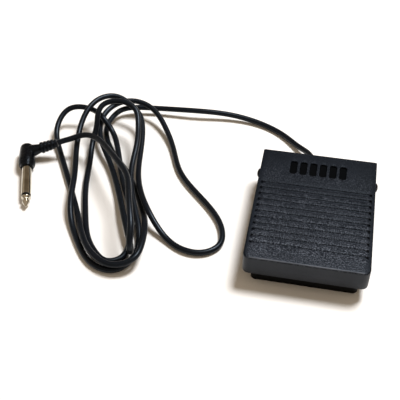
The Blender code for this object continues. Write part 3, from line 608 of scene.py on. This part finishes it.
# Where the plate's grid has lines close together: distances from the rim, from a groove's or pit's edge, and
# from a slot's edge and along its rounded corner.
RIM_LINES = (0.0, 0.04, 0.12, 0.21, REAR_FILLET, 0.45, 0.68, TOP_FILLET, 1.2)
GROOVE_LINES = (-0.3, -0.12, 0.0, 0.12, 0.3)
SLOT_LINES = tuple(-0.2 + 0.1 * k for k in range(5))
CORNER_LINES = tuple(SLOT_CORNER * k / 4 for k in range(1, 5))
CLOSEST_LINES = 0.035
WIDEST_LINES = 2.5

# The moulding's materials, and the place of each in the list.
SHELL_MATERIALS = [SHELL, SKIRT, RECESS, EDGE_HIGHLIGHT, GROOVE]
ON_TOP = SHELL_MATERIALS.index(SHELL)
ON_SKIRT = SHELL_MATERIALS.index(SKIRT)
IN_SLOT = SHELL_MATERIALS.index(RECESS)
ON_EDGE_HIGHLIGHT = SHELL_MATERIALS.index(EDGE_HIGHLIGHT)
IN_GROOVE = SHELL_MATERIALS.index(GROOVE)


def soft_step(inside, half_width):
    """0 well outside an edge and 1 well inside it, turning smoothly across it."""
    t = min(max((inside + half_width) / (2 * half_width), 0.0), 1.0)
    return t * t * (3 - 2 * t)


def relief_depth(x, y):
    """Depth of the grooves, their end pits and the slots below the plate's top."""
    across = min(abs(y - centre) for centre in GROOVE_CENTRES)
    along = GROOVE_END - abs(x)
    in_groove = soft_step(GROOVE_HALF - across, GROOVE_EDGE) * soft_step(along, GROOVE_EDGE)
    depth = GROOVE_DEPTH * in_groove
    depth += PIT_DEPTH * in_groove * soft_step(PIT_LENGTH - along, PIT_EDGE)
    slot_x = min(abs(x - centre) for centre in SLOT_CENTRES)
    from_corner_x = slot_x - (SLOT_HALF_WIDTH - SLOT_CORNER)
    from_corner_y = abs(y - SLOT_Y) - (SLOT_HALF_LENGTH - SLOT_CORNER)
    if from_corner_x > 0 and from_corner_y > 0:
        outside = math.hypot(from_corner_x, from_corner_y) - SLOT_CORNER
    else:
        outside = max(from_corner_x, from_corner_y) - SLOT_CORNER
    return depth + SLOT_DEPTH * soft_step(-outside, SLOT_EDGE)


def plate_lines(limit, details):
    """Grid lines across the plate: close together at the rim and the details, and never too far apart."""
    lines = {-limit, limit}
    for edge in RIM_LINES:
        lines.update((-(limit - edge), limit - edge))
    for centre, offsets in details:
        lines.update(centre + offset for offset in offsets)
    ordered = sorted(lines)
    kept = [ordered[0]]
    for line in ordered[1:]:
        if line - kept[-1] < CLOSEST_LINES:
            continue
        gaps = math.ceil((line - kept[-1]) / WIDEST_LINES)
        start = kept[-1]
        kept += [start + (line - start) * (k + 1) / gaps for k in range(gaps)]
    kept[-1] = limit
    return kept


def plate_grid():
    """The lines of the plate's grid, across it and along it."""
    x_details = [(side * GROOVE_END, GROOVE_LINES) for side in (-1, 1)]
    x_details += [(side * (GROOVE_END - PIT_LENGTH), GROOVE_LINES) for side in (-1, 1)]
    y_details = [(centre, (0.0,)) for centre in GROOVE_CENTRES]
    for side in (-1, 1):
        inwards = tuple(-side * value for value in CORNER_LINES)
        y_details += [(centre + side * GROOVE_HALF, GROOVE_LINES) for centre in GROOVE_CENTRES]
        y_details += [(SLOT_Y + side * SLOT_HALF_LENGTH, lines) for lines in (SLOT_LINES, inwards)]
        for centre in SLOT_CENTRES:
            x_details += [(centre + side * SLOT_HALF_WIDTH, lines) for lines in (SLOT_LINES, inwards)]
    return plate_lines(HALF_WIDTH, x_details), plate_lines(HALF_DEPTH, y_details)


def on_outline(x, y, inset=0.0):
    """Move a point of the square grid into the plate's rounded outline, drawn in by inset."""
    corner = TOE_CORNER if y < 0 else HEEL_CORNER
    inner = max(corner - inset, SMALLEST_CORNER)
    straight = (HALF_WIDTH - corner, HALF_DEPTH - corner)
    target = (HALF_WIDTH - inset - inner, HALF_DEPTH - inset - inner)
    share = [max(abs(value) - limit, 0.0) / corner for value, limit in zip((x, y), straight)]
    curved = (share[0] * math.sqrt(1 - share[1] ** 2 / 2), share[1] * math.sqrt(1 - share[0] ** 2 / 2))
    placed = []
    for value, limit, goal, bend, part in zip((x, y), straight, target, curved, share):
        size = goal + inner * bend if part > 0 else abs(value) * goal / limit
        placed.append(math.copysign(size, value))
    return placed


def edge_distance(x, y):
    """How far a point of the plate lies inside its outline."""
    corner = TOE_CORNER if y < 0 else HEEL_CORNER
    dx = abs(x) - (HALF_WIDTH - corner)
    dy = abs(y) - (HALF_DEPTH - corner)
    if dx > 0 and dy > 0:
        return corner - math.hypot(dx, dy)
    return corner - max(dx, dy)


def top_height(x, y, px, py):
    """Height of the top at a grid point (x, y) that the outline has moved to (px, py)."""
    inside = max(edge_distance(px, py), 0.0)
    toe_share = soft_step(FILLET_CHANGE_Y - py, FILLET_CHANGE_REACH)
    radius = REAR_FILLET + (TOP_FILLET - REAR_FILLET) * toe_share
    fillet = 0.0
    if inside < radius:
        fillet = radius - math.sqrt(radius ** 2 - (radius - inside) ** 2)
    return MID_HEIGHT + SLOPE * py - fillet - relief_depth(x, y)


def top_material(x, y):
    """The place in the list of the material at a point of the top."""
    # A thin band just inside the front outline, away from the corners, gets the painted highlight.
    start, end = EDGE_HIGHLIGHT_BAND
    if y < 0 and abs(x) < HALF_WIDTH - TOE_CORNER and start < edge_distance(x, y) < end:
        return ON_EDGE_HIGHLIGHT
    sunk = relief_depth(x, y)
    # The slots' floors take the near-black painted shade.
    if y > SLOT_Y - SLOT_ZONE and sunk > SLOT_DEPTH * 0.5:
        return IN_SLOT
    if sunk > GROOVE_DEPTH * 0.35:
        return IN_GROOVE
    return ON_TOP


def treadle_shell_shape():
    """The treadle's moulding: a relief top with a rounded edge, its skirt, and the hollow beneath."""
    x_lines, y_lines = plate_grid()
    shape = bmesh.new()
    grid = []
    for y in y_lines:
        row = []
        for x in x_lines:
            px, py = on_outline(x, y)
            row.append(shape.verts.new((px, py, top_height(x, y, px, py))))
        grid.append(row)
    for j in range(len(y_lines) - 1):
        middle_y = (y_lines[j] + y_lines[j + 1]) / 2
        for i in range(len(x_lines) - 1):
            middle_x = (x_lines[i] + x_lines[i + 1]) / 2
            face = shape.faces.new((grid[j][i], grid[j][i + 1], grid[j + 1][i + 1], grid[j + 1][i]))
            face.material_index = top_material(middle_x, middle_y)

    last_x, last_y = len(x_lines) - 1, len(y_lines) - 1
    rim = [(i, 0) for i in range(last_x)] + [(last_x, j) for j in range(last_y)]
    rim += [(i, last_y) for i in range(last_x, 0, -1)] + [(0, j) for j in range(last_y, 0, -1)]
    rings = [[grid[j][i] for i, j in rim]]
    for inset, height in SKIRT_SECTION:
        ring = []
        for i, j in rim:
            px, py = on_outline(x_lines[i], y_lines[j], inset)
            ring.append(shape.verts.new((px, py, height + SLOPE * py)))
        rings.append(ring)
    for upper, lower in zip(rings, rings[1:]):
        for k in range(len(rim)):
            after = (k + 1) % len(rim)
            face = shape.faces.new((upper[after], upper[k], lower[k], lower[after]))
            face.material_index = ON_SKIRT
    ceiling = shape.faces.new(rings[-1])
    ceiling.material_index = ON_SKIRT
    bmesh.ops.scale(shape, vec=(MM, MM, MM), verts=shape.verts)
    return shape


# A point on the hinge's line, in metres; then, in millimetres, what stands under the plate: the bosses round
# the pins, the posts that meet the stop pads, the spring's peg and the switch's nib.
HINGE_PLACE = (0.0, 31.5 * MM, 17.0 * MM)
HINGE_BORE = 2.3
BOSS_RADIUS = 4.2
BOSS_ENDS = (31.15, 33.5)
POST_X = 20.0
POST_Y = -34.0
POST_RADIUS = 3.0
POST_BOTTOM = 12.9
POST_TOP = 20.4
SPRING_Y = -20.0
PEG_RADIUS = 3.2
PEG_BOTTOM = 17.83
PEG_TOP = 20.9
POST_CORE = 0.2
NIB_X = 14.0
NIB_Y = -12.3
NIB_HALF = 1.5
NIB_BOTTOM = 18.85
NIB_TOP = 21.4


def nib_shape():
    """The rib under the plate that presses the switch's lever: rounded below, let into the plate above."""
    shape = bmesh.new()
    centre = NIB_BOTTOM + NIB_HALF
    arc = [(NIB_HALF * math.cos(a), centre - NIB_HALF * math.sin(a)) for a in np.radians(range(0, 181, 15))]
    outline = [(-NIB_HALF, NIB_TOP), *reversed(arc), (NIB_HALF, NIB_TOP)]
    ends = []
    for x in (NIB_X - NIB_HALF, NIB_X + NIB_HALF):
        ends.append([shape.verts.new((x * MM, (NIB_Y + y) * MM, z * MM)) for y, z in outline])
    joined(shape, *ends)
    shape.faces.new(list(reversed(ends[0])))
    shape.faces.new(ends[1])
    return shape


def add_treadle():
    """The treadle's moulding, with the bosses, posts, nib and peg that stand under its plate."""
    shell = add_piece("treadle_shell", treadle_shell_shape(), SHELL_MATERIALS, "treadle",
                      "treadle")
    past_the_sides = HALF_WIDTH + 4.4
    bore = scaled([(-past_the_sides, HINGE_BORE), (past_the_sides, HINGE_BORE)])
    cut(shell, lathe(bore, HINGE_PLACE, (1, 0, 0)))
    shell.data.shade_smooth()
    shell.data.set_sharp_from_angle(angle=SHARP_ANGLE)

    near, far = BOSS_ENDS
    boss = filleted([(near, HINGE_BORE), (near, BOSS_RADIUS), (far, BOSS_RADIUS), (far, HINGE_BORE)], 0.3)
    post = filleted([(POST_BOTTOM, POST_CORE), (POST_BOTTOM, POST_RADIUS), (POST_TOP, POST_RADIUS),
                     (POST_TOP + 0.2, POST_CORE)], 0.4)
    for name, side in (("left", -1), ("right", 1)):
        boss_shape = turned_ring(scaled(boss), HINGE_PLACE, (side, 0, 0))
        add_piece(f"treadle_boss_{name}", boss_shape, [SKIRT], "treadle")
        post_shape = lathe(scaled(post), (side * POST_X * MM, POST_Y * MM, 0.0), (0, 0, 1))
        add_piece(f"stop_post_{name}", post_shape, [SKIRT], "treadle")
    add_piece("switch_nib", nib_shape(), [SKIRT], "treadle")
    peg = filleted([(PEG_BOTTOM, POST_CORE), (PEG_BOTTOM, PEG_RADIUS), (PEG_TOP, PEG_RADIUS),
                    (PEG_TOP + 0.05, POST_CORE)], 0.5)
    peg_shape = lathe(scaled(peg), (0.0, SPRING_Y * MM, 0.0), (0, 0, 1))
    add_piece("spring_peg", peg_shape, [SKIRT], "treadle")


# ------------------------------------------------------------------------------- pins and spring

# In millimetres along the hinge's line from the middle of the pedal.
PIN_RADIUS = 2.0
PIN_INNER_END = 26.0
PIN_HEAD_RADIUS = 3.0
PIN_HEAD_START = 35.9
PIN_HEAD_TOP = 37.7
PIN_DOME_RISE = 1.6


def add_pins():
    """The two hinge pins, each with a domed head outside the skirt."""
    dome = []
    for angle in np.radians(range(6, 85, 6)):
        dome.append((PIN_HEAD_TOP - PIN_DOME_RISE * (1 - math.cos(angle)), PIN_HEAD_RADIUS * math.sin(angle)))
    profile = [
        (PIN_INNER_END, PIN_RADIUS - 0.5), (PIN_INNER_END + 0.4, PIN_RADIUS), (PIN_HEAD_START, PIN_RADIUS),
        (PIN_HEAD_START, PIN_HEAD_RADIUS), (PIN_HEAD_START + 0.2, PIN_HEAD_RADIUS), *reversed(dome),
    ]
    for name, side in (("left", -1), ("right", 1)):
        shape = lathe(scaled(profile), HINGE_PLACE, (side, 0, 0))
        add_piece(f"pin_{name}", shape, [BLACK_STEEL], "base", f"pivot_pin_{name}")


SPRING_WIRE = 0.55 * MM
SPRING_RADIUS = 4.5 * MM
SPRING_TURNS = 6.5
SPRING_STEPS = 320
SPRING_CLOSING = 0.8


def add_spring():
    """The return spring: a coil with closed-up ends."""
    low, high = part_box("return_spring")
    bottom, top = low[2] + SPRING_WIRE, high[2] - SPRING_WIRE
    points = []
    for index in range(SPRING_STEPS + 1):
        share = index / SPRING_STEPS
        eased = share - SPRING_CLOSING * math.sin(2 * math.pi * share) / (2 * math.pi)
        angle = 2 * math.pi * SPRING_TURNS * share
        across, along = SPRING_RADIUS * math.cos(angle), SPRING_RADIUS * math.sin(angle)
        points.append((across, SPRING_Y * MM + along, bottom + (top - bottom) * eased))
    shape = swept(points, SPRING_WIRE)
    spring = add_piece("spring_coil", shape, [BRIGHT_STEEL], "base", "return_spring")
    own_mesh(spring)


# ----------------------------------------------------------------------------------------- plug

# Where the plug lies, and the ways its shaft and its side arm point: the shaft droops a little towards its
# tip, and the arm is rolled up about the shaft.
PLUG_CENTRE = Vector((-193.7, 34.2, 6.2))
PLUG_YAW = math.radians(-71.4)
PLUG_DROOP = math.radians(3.4)
PLUG_ROLL = math.radians(17.0)
LEVEL_PART = math.cos(PLUG_DROOP)
SHAFT_WAY = Vector((LEVEL_PART * math.cos(PLUG_YAW), LEVEL_PART * math.sin(PLUG_YAW), -math.sin(PLUG_DROOP)))
LEVEL_WAY = Vector((0.0, 0.0, 1.0)).cross(SHAFT_WAY).normalized()
ARM_WAY = LEVEL_WAY * math.cos(PLUG_ROLL) + SHAFT_WAY.cross(LEVEL_WAY) * math.sin(PLUG_ROLL)

# Turned outlines: millimetres along the shaft or the arm from the plug's centre, and the radius there.
# Each outline starts and ends on a thin core, where its flat end is closed.
CORE = 0.3
PLUG_SIDES = 64
BODY_OUTLINE = [
    (-5.6, CORE), (-5.6, 3.4), (-4.2, 4.7), (-2.0, 4.9), (3.0, 5.25), (8.1, 5.6),
    # Two ring grooves, then the collar round the shaft.
    (10.3, 5.5), (10.5, 5.05), (11.0, 5.05), (11.2, 5.4), (12.4, 5.25), (12.6, 4.8), (13.1, 4.75),
    (13.3, 4.35), (15.1, 4.15), (15.1, 3.2), (14.2, 3.2), (14.2, CORE),
]
ARM_OUTLINE = [(0.5, CORE), (0.5, 4.4), (5.0, 3.95), (9.9, 2.9), (10.0, CORE)]
SHAFT_RADIUS = 3.17
SLEEVE_START = 13.6
SLEEVE_END = 40.0
INSULATOR_END = 41.5
INSULATOR_RADIUS = 3.05
TIP_OUTLINE = [
    (INSULATOR_END, CORE), (INSULATOR_END, 3.1), (42.6, 3.1), (43.6, 1.7), (44.2, 1.7), (45.4, 2.5),
    (46.0, 2.5), (49.2, 0.8), (49.8, CORE),
]

BOOT_START = 9.9
BOOT_LENGTH = 12.0
BOOT_RIBS = 4
BOOT_PITCH = 2.5
BOOT_RADIUS = 3.85
BOOT_TAPER = 0.15
BOOT_GROOVE = 0.9


def ribs(start, count, pitch, radius, taper, groove, corners):
    """Points of a row of ribs.

    Each corner is a distance from the rib's start and its drop from the top, as a share of the groove.
    """
    points = []
    for k in range(count):
        for along, drop in corners:
            points.append((start + k * pitch + along, radius - taper * k - groove * drop))
    return points


def boot_outline():
    """The plug boot's outline along the arm: a row of ribs that get smaller, then a plain lip."""
    rib_corners = [(0.0, 1.0), (0.15, 0.0), (1.6, 0.05 / BOOT_GROOVE), (1.8, 1.0)]
    outline = [(0.0, CORE), (0.0, 2.9)]
    outline += ribs(0.3, BOOT_RIBS, BOOT_PITCH, BOOT_RADIUS, BOOT_TAPER, BOOT_GROOVE, rib_corners)
    return outline + [(10.4, 2.3), (10.6, 2.9), (11.8, 2.8), (BOOT_LENGTH, 2.4), (BOOT_LENGTH, CORE)]


def add_turned(name, outline, fillet, steps, material, node):
    """A piece of the plug turned about its shaft."""
    shape = lathe(scaled(filleted(outline, fillet, steps)), PLUG_CENTRE * MM, SHAFT_WAY, PLUG_SIDES)
    return add_piece(name, shape, [material], "base", node)


def add_plug():
    """The right-angle jack plug: its body, side arm and ribbed boot, and the shaft's three parts."""
    housing = add_turned("plug_body", BODY_OUTLINE, 0.9, 5, PLUG, "plug_housing")
    arm_shape = lathe(scaled(filleted(ARM_OUTLINE, 0.5)), PLUG_CENTRE * MM, ARM_WAY)
    arm = add_piece("plug_arm", arm_shape, [PLUG], "base", None)
    boot_place = PLUG_CENTRE * MM + ARM_WAY * BOOT_START * MM
    boot_shape = lathe(scaled(filleted(boot_outline(), 0.22, 3)), boot_place, ARM_WAY)
    boot = add_piece("plug_strain_boot", boot_shape, [PLUG], "base", "plug_boot")

    sleeve = [(SLEEVE_START, CORE), (SLEEVE_START, SHAFT_RADIUS), (SLEEVE_END, SHAFT_RADIUS),
              (SLEEVE_END, CORE)]
    shaft = add_turned("jack_sleeve", sleeve, 0.15, 4, NICKEL, "plug_sleeve")
    ring = [(SLEEVE_END, CORE), (SLEEVE_END, INSULATOR_RADIUS), (INSULATOR_END, INSULATOR_RADIUS),
            (INSULATOR_END, CORE)]
    insulator = add_turned("jack_insulator", ring, 0.1, 4, BASE, "plug_insulator")
    tip = add_turned("jack_tip", TIP_OUTLINE, 0.4, 5, NICKEL, "plug_tip")
    return [housing, arm, boot, shaft, insulator, tip]


# The strain relief in the tray's rear wall: a flange inside, a waist in the wall's hole, a flange outside,
# and a ribbed tail along the lead.
LEAD_X = -4.0
LEAD_Z = 8.0
RELIEF_FLANGES = [(38.5, CORE), (38.5, 3.9), (39.7, 3.9), (39.7, 3.0), (42.3, 3.0), (42.3, 3.9), (43.9, 3.9)]
RELIEF_TAIL_START = 44.6
RELIEF_END = 56.0
RELIEF_RIBS = 4
RELIEF_PITCH = 2.6
RELIEF_RADIUS = 3.3
RELIEF_TAPER = 0.2
RELIEF_GROOVE = 0.5


def add_strain_relief():
    """The rubber grommet that holds the lead where it leaves the tray."""
    rib_corners = [(0.0, 1.0), (0.2, 0.0), (1.5, 0.0), (1.7, 1.0)]
    tail = ribs(RELIEF_TAIL_START, RELIEF_RIBS, RELIEF_PITCH, RELIEF_RADIUS, RELIEF_TAPER, RELIEF_GROOVE,
                rib_corners)
    outline = RELIEF_FLANGES + tail + [(RELIEF_END, 2.4), (RELIEF_END, CORE)]
    place = (LEAD_X * MM, 0.0, LEAD_Z * MM)
    shape = lathe(scaled(filleted(outline, 0.15, 3)), place, (0, 1, 0))
    return add_piece("strain_relief", shape, [RUBBER], "base", "cord_strain_relief")


# ----------------------------------------------------------------------------------------- lead

LEAD_RADIUS = 1.9 * MM
LEAD_STEP = 1.2

# The centreline in millimetres, from the strain relief to the plug's boot. On the ground its points are a
# little above the lead's radius, so that the smooth curve between them stays clear of the floor. Where turns
# cross, one passes over the other.
ROUTE = [
    # Out of the strain relief, down to the ground and across to the winding.
    (-4, 56.4, 8), (-4.4, 61.5, 7.6), (-7.8, 69.8, 6), (-15.6, 79, 3.6), (-25.7, 89.4, 2.5), (-39, 98, 2.35),
    (-68, 103, 5), (-88, 101, 6.5), (-125, 99, 5.5), (-144, 91, 6.5), (-148, 82, 6), (-149, 72, 5),
    # First turn: along the ground on its right side, over the others at the toe end, and up the left side.
    (-141, 53, 2.35), (-124, 32, 2.35), (-109, 7, 2.35), (-101.6, -9.5, 4.4), (-98, -23, 8.2),
    (-96.4, -38, 9.8), (-98.2, -47, 9.4), (-104.2, -51.6, 8), (-112.2, -52.6, 7.2), (-120.6, -49, 7.2),
    (-140, -21, 5),
    (-152, 3, 2.35), (-165, 27, 2.35), (-175, 45, 3), (-181, 58, 6.5), (-181, 69, 11), (-177, 76, 14),
    (-170, 78, 15.5), (-161, 77, 15.5), (-150, 69, 15.5),
    # Second turn: down the middle to the ground, up the inside of the left, and high over the heel end.
    (-143, 64, 10), (-136, 52, 7.5), (-124, 22, 4), (-109, -13, 2.35), (-106.5, -26, 2.35),
    (-106, -37, 2.35), (-108.6, -44.2, 3), (-115, -47.4, 3.5), (-122.6, -43, 3.5), (-133, -28, 2.6),
    (-140, -9, 2.35), (-147, 15, 2.35), (-151, 38, 4), (-153, 54, 9), (-152, 61, 16), (-152, 65, 21.5),
    (-150, 71, 25), (-143, 75, 26.5), (-135, 75, 26.5),
    # Third turn: down from that arch, round the outside of the toe end, and up the left to a lower arch.
    (-127, 71, 24.5), (-123, 62, 20), (-120, 46, 16), (-119, 30, 12.5), (-116, 14, 10),
    (-106, -11, 6), (-101.5, -23, 4), (-100, -32, 2.35), (-102.5, -45, 2.35), (-109, -52, 2.35),
    (-117, -52.8, 2.6), (-127.5, -46.8, 2.4), (-136.6, -35.3, 2.35), (-145.2, -20.6, 3.6),
    (-148.9, -10.6, 6.5), (-153.8, 13, 8.4), (-163, 52, 11), (-163, 65, 16), (-160, 76, 20), (-154, 85, 21),
    (-146, 89, 20),
    # Out of the winding into the wide loop that lies flat beside it.
    (-137, 87, 17.5), (-128, 81, 14), (-122, 68, 11), (-116, 33, 7), (-104, 0, 9.5), (-99, -8, 9),
    (-85, -22, 2.6), (-73, -29, 2.35), (-61, -29, 2.35), (-53, -22, 2.35), (-53, -9, 2.35), (-62, 7, 2.35),
    (-90, 40, 2.35), (-99, 61, 2.9), (-110, 81, 6.3), (-124, 94, 11), (-137, 95, 13), (-147, 88, 13),
    # Down the inner left side, folded back on itself at the toe end, and over the top to the plug.
    (-152, 78, 11.5), (-152, 67, 9.5), (-148, 55, 8), (-139, 40, 5.5), (-120, 2, 5), (-107.3, -27, 6.5),
    (-104.2, -34, 6.2), (-102.4, -39.2, 7), (-101.4, -43, 9.8), (-101, -45.4, 15.5), (-101.1, -43, 21.2),
    (-101.7, -38, 24.8), (-104, -29.6, 27.6), (-108.2, -16.4, 29.4), (-113.7, -0.4, 29.6),
    (-123.1, 13.4, 27.8), (-134.6, 28.2, 24.4), (-146.1, 41, 20.6), (-157.1, 46, 17.4),
    (-165.4, 43.2, 15.1), (-170.1, 41.7, 13.8), (-173.2, 40.7, 12.8),
]


def smooth_curve(points, step):
    """Evenly spaced points on a natural cubic spline through the given points, about a step apart."""
    knots = np.array(points, dtype=float)
    steps = np.linalg.norm(np.diff(knots, axis=0), axis=1)
    place = np.concatenate(([0.0], np.cumsum(steps)))
    size = len(knots)
    system = np.eye(size)
    right = np.zeros_like(knots)
    for i in range(1, size - 1):
        before, after = steps[i - 1], steps[i]
        system[i, i - 1:i + 2] = before, 2 * (before + after), after
        rise = (knots[i + 1] - knots[i]) / after - (knots[i] - knots[i - 1]) / before
        right[i] = 6 * rise
    bend = np.linalg.solve(system, right)
    fine = np.linspace(0.0, place[-1], 60 * size)
    cell = np.clip(np.searchsorted(place, fine, side="right") - 1, 0, size - 2)
    span = steps[cell][:, None]
    a = (place[cell + 1] - fine)[:, None]
    b = (fine - place[cell])[:, None]
    curve = (bend[cell] * a ** 3 + bend[cell + 1] * b ** 3) / (6 * span)
    curve += (knots[cell] / span - bend[cell] * span / 6) * a
    curve += (knots[cell + 1] / span - bend[cell + 1] * span / 6) * b
    travelled = np.concatenate(([0.0], np.cumsum(np.linalg.norm(np.diff(curve, axis=0), axis=1))))
    wanted = np.linspace(0.0, travelled[-1], round(travelled[-1] / step) + 1)
    return np.column_stack([np.interp(wanted, travelled, curve[:, k]) for k in range(3)])


def add_lead(with_pieces):
    """The whole lead as one round tube along its route; its argument with_pieces is not used."""
    points = smooth_curve(ROUTE, LEAD_STEP) * MM
    curve = bpy.data.curves.new("lead", "CURVE")
    curve.dimensions = "3D"
    curve.bevel_depth = LEAD_RADIUS
    curve.bevel_resolution = 5
    curve.use_fill_caps = True
    spline = curve.splines.new("POLY")
    spline.points.add(len(points) - 1)
    for target, point in zip(spline.points, points):
        target.co = (*point, 1.0)
    curve.materials.append(JACKET)
    lead = bpy.data.objects.new("lead", curve)
    bpy.context.collection.objects.link(lead)
    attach(lead, "base")
    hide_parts("cord_out", "cord_winding", "cord_loop", "cord_tail")


add_camera()
add_floor()
add_world()
add_key_light()
finish_cad_nodes()
add_treadle()
add_pins()
add_spring()
add_lead([add_strain_relief(), *add_plug()])
